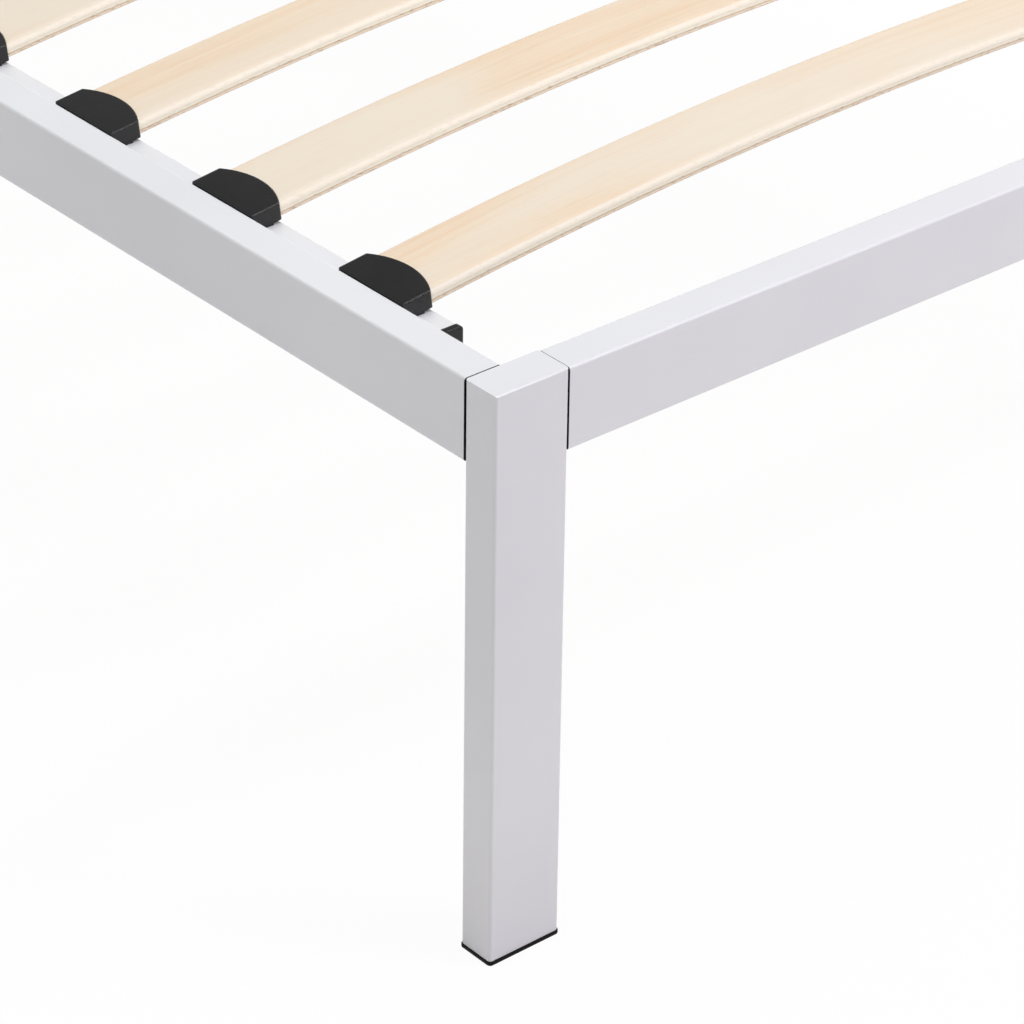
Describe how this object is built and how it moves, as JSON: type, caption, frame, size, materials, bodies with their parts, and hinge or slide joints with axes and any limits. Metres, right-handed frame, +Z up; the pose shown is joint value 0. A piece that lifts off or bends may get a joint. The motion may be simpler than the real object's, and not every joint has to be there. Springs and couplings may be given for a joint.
{
  "type": "metal bed frame",
  "caption": "Single bed frame of pale powder-coated steel tube, with arched plywood slats in black plastic holders between the side rails.",
  "frame": {"origin": "on the floor, under the middle of the bed", "axes": "+X to the right of someone who stands at the foot and looks at the head, +Y towards the head, +Z up"},
  "size_m": [0.9014, 2.0254, 0.3955],
  "materials": {
    "powder_coat": "satin, very pale silver grey powder coat",
    "bent_plywood": "satin lacquered birch plywood with open layered edges",
    "black_moulding": "fine satin moulded polymer",
    "zinc_fasteners": "bright zinc plating"
  },
  "bodies": {
    "root": {"leg_foot_left": "powder_coat", "leg_foot_right": "powder_coat", "leg_head_left": "powder_coat", "leg_head_right": "powder_coat", "foot_cap_foot_left": "black_moulding", "foot_cap_foot_right": "black_moulding", "foot_cap_head_left": "black_moulding", "foot_cap_head_right": "black_moulding", "side_rail_left": "powder_coat", "side_rail_right": "powder_coat", "foot_rail": "powder_coat", "head_rail": "powder_coat", "slat_support_left": "powder_coat", "slat_support_right": "powder_coat", "support_plugs": "black_moulding", "slat_01": "bent_plywood", "slat_02": "bent_plywood", "slat_03": "bent_plywood", "slat_04": "bent_plywood", "slat_05": "bent_plywood", "slat_06": "bent_plywood", "slat_07": "bent_plywood", "slat_08": "bent_plywood", "slat_09": "bent_plywood", "slat_10": "bent_plywood", "slat_11": "bent_plywood", "slat_12": "bent_plywood", "slat_13": "bent_plywood", "slat_14": "bent_plywood", "slat_holder_left_01": "black_moulding", "slat_holder_left_02": "black_moulding", "slat_holder_left_03": "black_moulding", "slat_holder_left_04": "black_moulding", "slat_holder_left_05": "black_moulding", "slat_holder_left_06": "black_moulding", "slat_holder_left_07": "black_moulding", "slat_holder_left_08": "black_moulding", "slat_holder_left_09": "black_moulding", "slat_holder_left_10": "black_moulding", "slat_holder_left_11": "black_moulding", "slat_holder_left_12": "black_moulding", "slat_holder_left_13": "black_moulding", "slat_holder_left_14": "black_moulding", "slat_holder_right_01": "black_moulding", "slat_holder_right_02": "black_moulding", "slat_holder_right_03": "black_moulding", "slat_holder_right_04": "black_moulding", "slat_holder_right_05": "black_moulding", "slat_holder_right_06": "black_moulding", "slat_holder_right_07": "black_moulding", "slat_holder_right_08": "black_moulding", "slat_holder_right_09": "black_moulding", "slat_holder_right_10": "black_moulding", "slat_holder_right_11": "black_moulding", "slat_holder_right_12": "black_moulding", "slat_holder_right_13": "black_moulding", "slat_holder_right_14": "black_moulding", "corner_brackets": "powder_coat", "bracket_bolts": "zinc_fasteners", "weld_nuts": "zinc_fasteners"}
  },
  "joints": []
}
